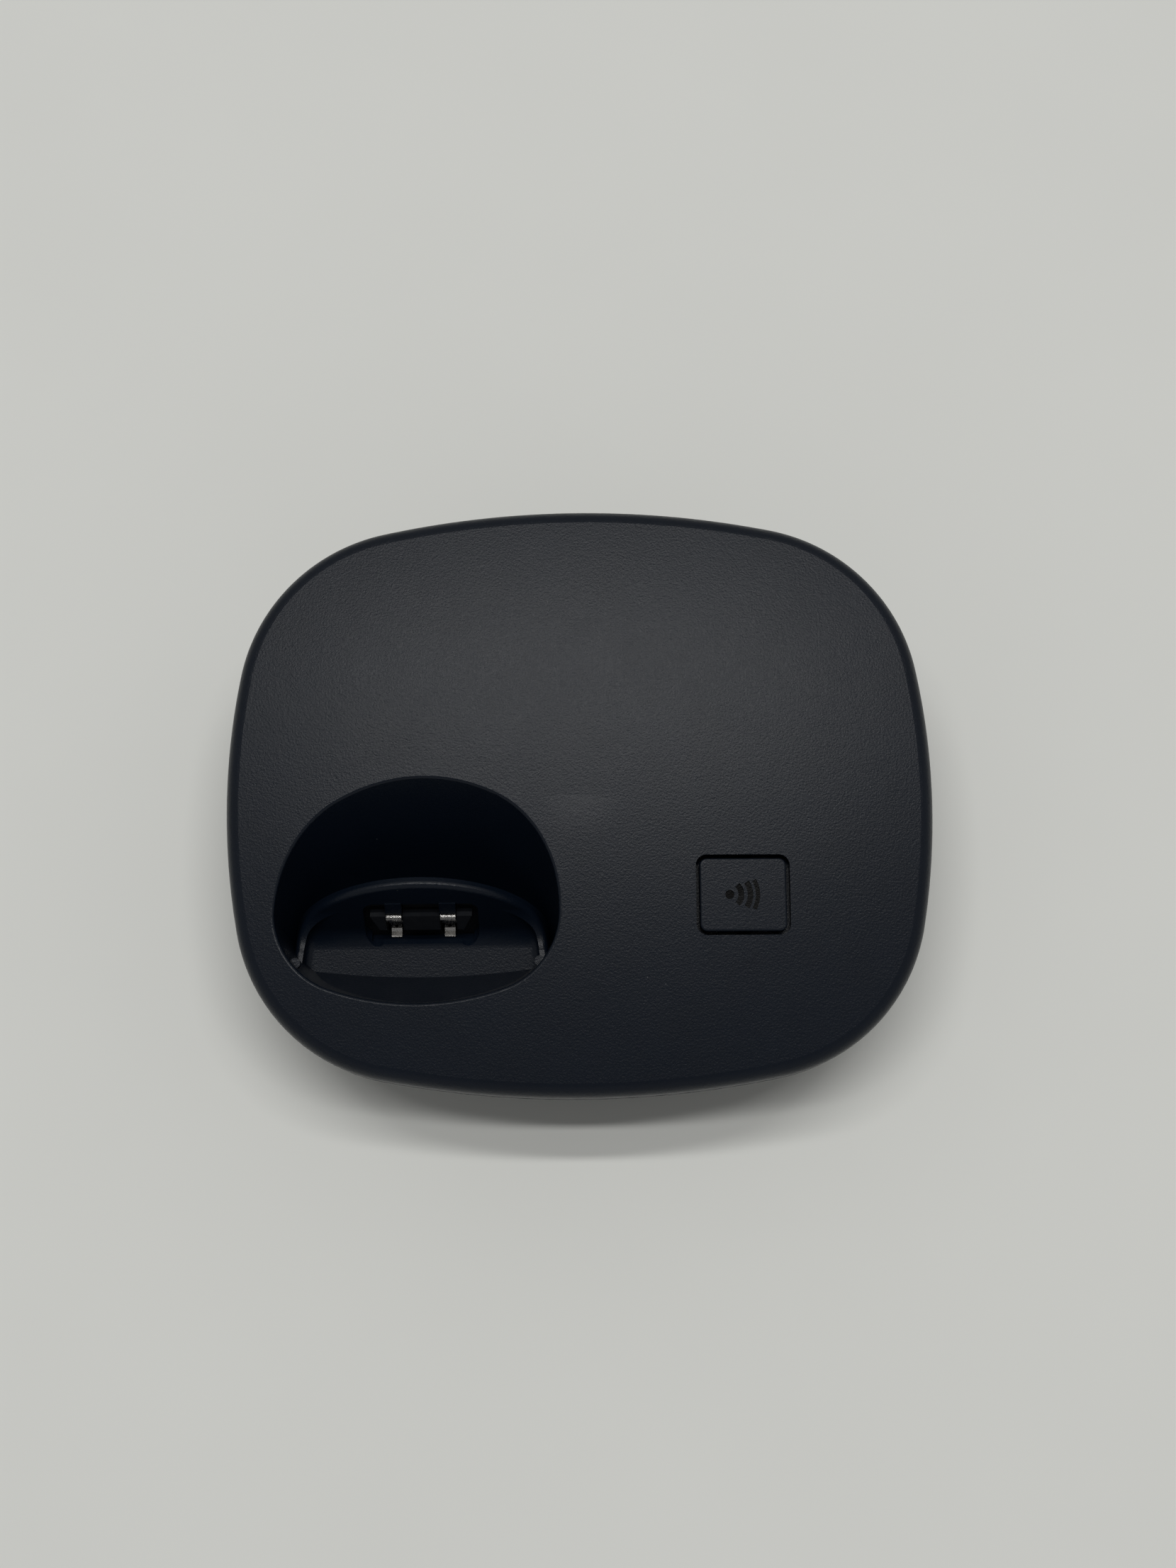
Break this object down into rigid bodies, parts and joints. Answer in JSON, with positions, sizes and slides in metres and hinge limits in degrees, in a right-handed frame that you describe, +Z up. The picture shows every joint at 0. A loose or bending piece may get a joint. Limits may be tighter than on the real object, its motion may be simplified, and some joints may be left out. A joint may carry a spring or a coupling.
{
  "type": "cordless phone base station",
  "caption": "Rounded black desk base of a cordless phone, with a leaning charging well, sprung contacts, a page button and a rear bay with line and power sockets.",
  "frame": {"origin": "on the table, under the middle of the bounding box", "axes": "+Z up, +Y to the back with the sockets, +X to the right with the page button"},
  "size_m": [0.124, 0.1037, 0.0442],
  "materials": {
    "shell_black": "fine spark-eroded grain",
    "button_black": "fine spark-eroded grain",
    "holder_black": "smooth satin",
    "contact_metal": "bright nickel plate",
    "board_green": "solder-resist green",
    "chip_black": "moulded epoxy",
    "tin_plate": "bright tin plate",
    "zinc_steel": "zinc plated",
    "core_brown": "varnished core and tape",
    "ferrite_grey": "sintered ferrite",
    "sleeve_dark": "shrink sleeve",
    "chip_tan": "fired chip parts",
    "arrester_white": "glazed barrel with metal ends",
    "jack_black": "glossy moulding",
    "gold_wire": "gold plated",
    "ribbon_grey": "flat cable jacket",
    "socket_ivory": "moulded nylon",
    "foot_rubber": "soft rubber",
    "label_silver": "printed film"
  },
  "bodies": {
    "housing": {"top_shell": "shell_black", "bottom_shell": "shell_black", "cradle_insert": "shell_black", "rating_label": "label_silver", "contact_block": "holder_black", "contact_tail_left": "contact_metal", "contact_tail_right": "contact_metal", "switch_body": "holder_black", "switch_cover": "tin_plate", "button_board": "board_green", "button_board_screws": "zinc_steel", "case_screws": "zinc_steel", "board_screws": "zinc_steel", "cradle_screws": "zinc_steel", "main_board": "board_green", "radio_shield": "tin_plate", "processor": "chip_black", "flash_memory": "chip_black", "clock_crystal": "tin_plate", "line_transformer": "core_brown", "power_inductor": "ferrite_grey", "bridge_rectifier": "chip_black", "surge_arrester": "arrester_white", "small_parts": "chip_tan", "line_jack": "jack_black", "line_jack_contacts": "gold_wire", "power_jack": "jack_black", "power_jack_contacts": "gold_wire", "antenna_rear": "tin_plate", "antenna_front": "tin_plate", "ribbon_socket_upper": "socket_ivory", "ribbon_socket_lower": "socket_ivory", "button_ribbon": "ribbon_grey", "foot_pad_front_left": "foot_rubber", "foot_pad_front_right": "foot_rubber", "foot_pad_rear_left": "foot_rubber", "foot_pad_rear_right": "foot_rubber", "capacitor_input": "sleeve_dark", "capacitor_output": "sleeve_dark", "capacitor_backup": "sleeve_dark"},
    "page_button": {"page_button": "button_black", "switch_plunger": "holder_black"},
    "charge_contact_left": {"charge_contact_left": "contact_metal"},
    "charge_contact_right": {"charge_contact_right": "contact_metal"}
  },
  "joints": [
    {"name": "page_button_press", "type": "slide", "parent": "housing", "child": "page_button", "axis": [0, 0.1219, -0.9925], "range_m": [0, 0.0005], "stiffness_N_per_m": 2500, "springref_m": -0.0002},
    {"name": "charge_contact_left_flex", "type": "hinge", "parent": "housing", "child": "charge_contact_left", "pos_m": [-0.0332, -0.01941, 0.01795], "axis": [-1, 0, 0], "range_deg": [0, 7], "stiffness_Nm_per_rad": 0.04, "springref_deg": -1.72},
    {"name": "charge_contact_right_flex", "type": "hinge", "parent": "housing", "child": "charge_contact_right", "pos_m": [-0.0236, -0.01941, 0.01795], "axis": [-1, 0, 0], "range_deg": [0, 7], "stiffness_Nm_per_rad": 0.04, "springref_deg": -1.72}
  ]
}
